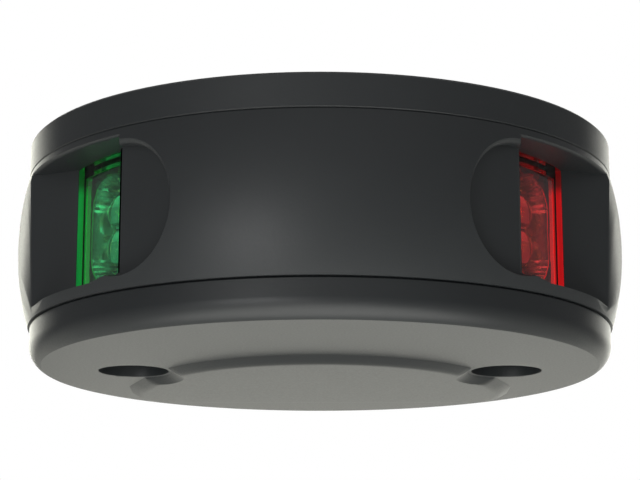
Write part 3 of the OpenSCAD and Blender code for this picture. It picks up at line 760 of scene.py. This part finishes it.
def lined_metal(name, dark, light, roughness, line, turn=(0, 0, 0)):
    """Metal with fine parallel lines from rolling, turning or brushing."""
    material, tree = new_material(name)
    place = add_node(tree, "ShaderNodeTexCoord")
    stretch = add_node(tree, "ShaderNodeMapping", {"Rotation": turn, "Scale": (0.04, 1.0, 1.0)},
                       {"Vector": place.outputs["Object"]})
    lines = add_node(tree, "ShaderNodeTexNoise", {"Scale": 1 / (line * MM), "Detail": 3.0},
                     {"Vector": stretch.outputs["Vector"]})
    tone = add_node(tree, "ShaderNodeMix", {"data_type": "RGBA"}, {"Factor": lines.outputs["Fac"]})
    tone.inputs["A"].default_value = linear(dark)
    tone.inputs["B"].default_value = linear(light)
    sheen = add_node(tree, "ShaderNodeMapRange", {"To Min": roughness - 0.08, "To Max": roughness + 0.08},
                     {"Value": lines.outputs["Fac"]})
    bump = add_node(tree, "ShaderNodeBump", {"Strength": 0.3, "Distance": 0.01 * MM},
                    {"Height": lines.outputs["Fac"]})
    shader = add_node(tree, "ShaderNodeBsdfPrincipled", {"Metallic": 1.0},
                      {"Base Color": tone.outputs["Result"], "Roughness": sheen.outputs["Result"],
                       "Normal": bump.outputs["Normal"]})
    close_material(tree, shader)
    return material


finish_node(lined_metal("rolled_aluminium", "#B9BABC", "#D2D3D5", 0.35, 0.12, (0, 0, math.radians(33))),
            "starboard_heat_bracket", "port_heat_bracket")

# Two PVC-covered leads run from each LED board to the driver board, green on the green side and red
# on the red side, so that they can't be crossed when the light is put together.
finish_node(plain_gloss("green_pvc", "#0E5A2A", "#136B33", 0.45), "starboard_leads")
finish_node(plain_gloss("red_pvc", "#8E1413", "#A31A18", 0.45), "port_leads")

# The driver board is glass-epoxy with a green solder mask. Under it hang a moulded epoxy chip and
# surge diodes, a ferrite-cored inductor and two capacitors in shrunk plastic sleeves.


def circuit_board():
    """Green solder mask over copper tracks: the tracks lift the mask and show a lighter green."""
    material, tree = new_material("green_solder_mask")
    place = add_node(tree, "ShaderNodeTexCoord")
    tracks = add_node(tree, "ShaderNodeTexVoronoi",
                      {"Scale": 1 / (2.6 * MM), "distance": "CHEBYCHEV", "feature": "F2"},
                      {"Vector": place.outputs["Object"]})
    edge = add_node(tree, "ShaderNodeMapRange", {"From Min": 0.45, "From Max": 0.55},
                    {"Value": tracks.outputs["Distance"]})
    tone = add_node(tree, "ShaderNodeMix", {"data_type": "RGBA"}, {"Factor": edge.outputs["Result"]})
    tone.inputs["A"].default_value = linear("#0C4A26")
    tone.inputs["B"].default_value = linear("#17683A")
    bump = add_node(tree, "ShaderNodeBump", {"Strength": 0.6, "Distance": 0.035 * MM},
                    {"Height": edge.outputs["Result"]})
    shader = add_node(tree, "ShaderNodeBsdfPrincipled", {"Roughness": 0.28},
                      {"Base Color": tone.outputs["Result"], "Normal": bump.outputs["Normal"]})
    close_material(tree, shader)
    return material


finish_node(circuit_board(), "driver_board")
finish_node(moulded_plastic("black_epoxy_package", "#161616", "#1D1D1E", 0.55, grain=0.12),
            "driver_chip", "surge_diodes")
finish_node(moulded_plastic("pressed_ferrite", "#2E2E31", "#3A3A3D", 0.7, grain=0.2, depth=0.03),
            "inductor")
finish_node(plain_gloss("blue_shrunk_sleeve", "#1B2350", "#232C62", 0.3), "capacitors")
finish_node(plain_gloss("green_polyamide_block", "#14532E", "#1A6338", 0.4), "terminal_block")

# Turned brass sleeves line both screw passages, so that the mounting screws can be done up tight
# without crushing the plastic. All the small screws are stainless steel, cold headed and bright.
finish_node(lined_metal("turned_brass", "#B08D4A", "#C9A65E", 0.28, 0.15, (0, math.pi / 2, 0)),
            "screw_sleeves")
finish_node(lined_metal("stainless_screw", "#A9AAAC", "#C3C4C6", 0.25, 0.1),
            "assembly_screws", "bracket_screws", "board_screws", "terminal_screws")

# The bottom cover is a shallow cup of the same ASA, coloured darker than the barrel as painted shade.
# Its rim is rounded, its face carries a raised arch-shaped pad between and behind the screws, and
# each screw has a stepped counterbore in a boss.
COVER_R, COVER_H, COVER_ROUND, COVER_T = 41.4, 5.3, 3.0, 2.2
SEAM_BREAK = 0.3
FACE_INSET = 1.7
FACE_R = COVER_R - FACE_INSET
EDGE_Z = BARREL_LOW - COVER_H
PAD_R, PAD_BACK, PAD_CHORD, PAD_W, PAD_CORNER = 24.4, 12.6, 11.2, 53.0, 3.5
PAD_MEET, PAD_BEND, PAD_FLARE, PAD_EASE = 16, 25, 8.5, 0.6
SCREW_X, SCREW_HOLE_R, SLEEVE_R = 26.7, 2.25, 3.2
HEAD_BORE_R, HEAD_STEP_R, HEAD_FLOOR, HEAD_STEP = 5.0, 3.7, -27.2, -26.4
BOSS_R, BOSS_TOP, SLEEVE_END = 6.6, -23.2, -24.7
COVER_PILLAR_TOP, PILOT_END, PILOT_R = -24.5, -30.2, 1.5
DRILL_FROM = EDGE_Z - 5
MOUTH_ROUND, MOUTH_NEAR, MOUTH_STEPS = 0.3, 0.05, 96
RIM_STEPS, PAD_STEPS, FLARE_STEPS, CORNER_STEPS = 12, 48, 10, 8
# Each step of the pad's slope: how far outside the crest it lies, and how far it stands proud
PAD_SLOPE = ((2.5, -1.0), (2.5, -0.2), (1.7, 0.28), (0.95, 0.66), (0.35, 0.91), (-0.4, 1.0))
PAD_RELIEF, PAD_RELIEF_RUN = 0.4, 1.8


def cover_profile():
    round_x = COVER_R - COVER_ROUND
    round_z = EDGE_Z + math.sqrt(COVER_ROUND ** 2 - (FACE_R - round_x) ** 2)
    points = [(lip_in, BARREL_LOW), (COVER_R - SEAM_BREAK, BARREL_LOW), (COVER_R, BARREL_LOW - SEAM_BREAK)]
    last = math.asin((round_z - EDGE_Z) / COVER_ROUND)
    for i in range(RIM_STEPS + 1):
        turn = last * i / RIM_STEPS
        points.append((round_x + COVER_ROUND * math.cos(turn), round_z - COVER_ROUND * math.sin(turn)))
    points += [(r, EDGE_Z) for r in (30, 20, 10, 0)]
    points += [(0, EDGE_Z + COVER_T), (lip_in, EDGE_Z + COVER_T)]
    return points


def pad_outline():
    """The arch: a round front that flares to the sides, rounded corners and a straight rear edge."""
    meet, bend = math.radians(PAD_MEET), math.radians(PAD_BEND)
    rear, half = PAD_BACK + PAD_CHORD, PAD_W / 2
    points = []
    for i in range(PAD_STEPS + 1):
        turn = math.pi + bend + (math.pi - 2 * bend) * i / PAD_STEPS
        points.append((PAD_R * math.cos(turn), PAD_BACK + PAD_R * math.sin(turn)))
    waist = Vector((PAD_R * math.cos(meet), PAD_BACK - PAD_R * math.sin(meet)))
    side = PAD_BACK - PAD_R * math.sin(meet) + PAD_FLARE
    first, last = Vector(points[-1]), waist.lerp(Vector((half, side)), PAD_EASE)
    flare = []
    for i in range(1, FLARE_STEPS + 1):
        share = i / FLARE_STEPS
        flare.append(first.lerp(waist, share).lerp(waist.lerp(last, share), share))
    points += [(p.x, p.y) for p in flare]
    points.append((half, side))
    for begin, middle in ((0, half - PAD_CORNER), (math.pi / 2, PAD_CORNER - half)):
        for i in range(CORNER_STEPS + 1):
            turn = begin + math.pi / 2 * i / CORNER_STEPS
            points.append((middle + PAD_CORNER * math.cos(turn),
                           rear - PAD_CORNER + PAD_CORNER * math.sin(turn)))
    points.append((-half, side))
    points += [(-p.x, p.y) for p in reversed(flare)]
    return points


def pad_solid():
    """The pad's crest, and the gentle slope that runs from it down to the cover's face."""
    crest = [Vector(p) for p in pad_outline()]
    bm = bmesh.new()
    rings = []
    for spread, rise in PAD_SLOPE:
        ring = []
        for i, p in enumerate(crest):
            along = crest[(i + 1) % len(crest)] - crest[i - 1]
            spot = p + Vector((along.y, -along.x)).normalized() * spread
            hole = Vector((math.copysign(SCREW_X, spot.x), 0))
            clear = HEAD_BORE_R + PAD_RELIEF + PAD_RELIEF_RUN * max(rise, 0)
            if (spot - hole).length < clear:
                spot = hole + (spot - hole).normalized() * clear
            ring.append(bm.verts.new(Vector((spot.x, spot.y, EDGE_Z - rise)) * MM))
        rings.append(ring)
    for lower, upper in zip(rings, rings[1:]):
        for i in range(len(crest)):
            bm.faces.new((lower[i - 1], lower[i], upper[i], upper[i - 1]))
    bm.faces.new(rings[0])
    bm.faces.new(rings[-1])
    bmesh.ops.recalc_face_normals(bm, faces=bm.faces)
    return bm


cover_steps = [("UNION", pad_solid())]
for side in (-1, 1):
    cover_steps.append(("UNION", rod(BOSS_R, EDGE_Z + PAST, BOSS_TOP, (side * SCREW_X, 0))))
for angle, radius in PILLARS:
    cover_steps.append(("UNION", rod(PILLAR_R, EDGE_Z + PAST, COVER_PILLAR_TOP, out(angle, radius))))
for side in (-1, 1):
    spot = (side * SCREW_X, 0)
    cover_steps += [("DIFFERENCE", rod(SCREW_HOLE_R, DRILL_FROM, 0, spot)),
                    ("DIFFERENCE", rod(SLEEVE_R, SLEEVE_END, 0, spot)),
                    ("DIFFERENCE", rod(HEAD_STEP_R, DRILL_FROM, HEAD_STEP, spot)),
                    ("DIFFERENCE", rod(HEAD_BORE_R, DRILL_FROM, HEAD_FLOOR, spot, segments=MOUTH_STEPS))]
for angle, radius in PILLARS:
    cover_steps.append(("DIFFERENCE", rod(PILOT_R, PILOT_END, 0, out(angle, radius))))
face_points = cover_profile()
start = face_points.index((0, EDGE_Z + COVER_T))
cover = combined(spun(face_points[start:] + face_points[:start], closed=False), cover_steps)


def round_mouth(edge):
    """Whether an edge runs round the mouth of a counterbore."""
    for vert in edge.verts:
        off = Vector((abs(vert.co.x) - SCREW_X * MM, vert.co.y)).length - HEAD_BORE_R * MM
        if vert.co.z >= (EDGE_Z + MOUTH_NEAR) * MM or abs(off) >= MOUTH_NEAR * MM:
            return False
    return True


rounded(cover, MOUTH_ROUND, chosen=round_mouth)
# The cover's darker tones are painted shade for its skirt, not a different plastic
cover_black_painted_shade = moulded_plastic("black_asa_cover_painted_shade", "#1A1D1F", "#202325", 0.44)
piece("cover_moulding", cover, [cover_black_painted_shade], "cover_plastic", "cover", smooth=24)
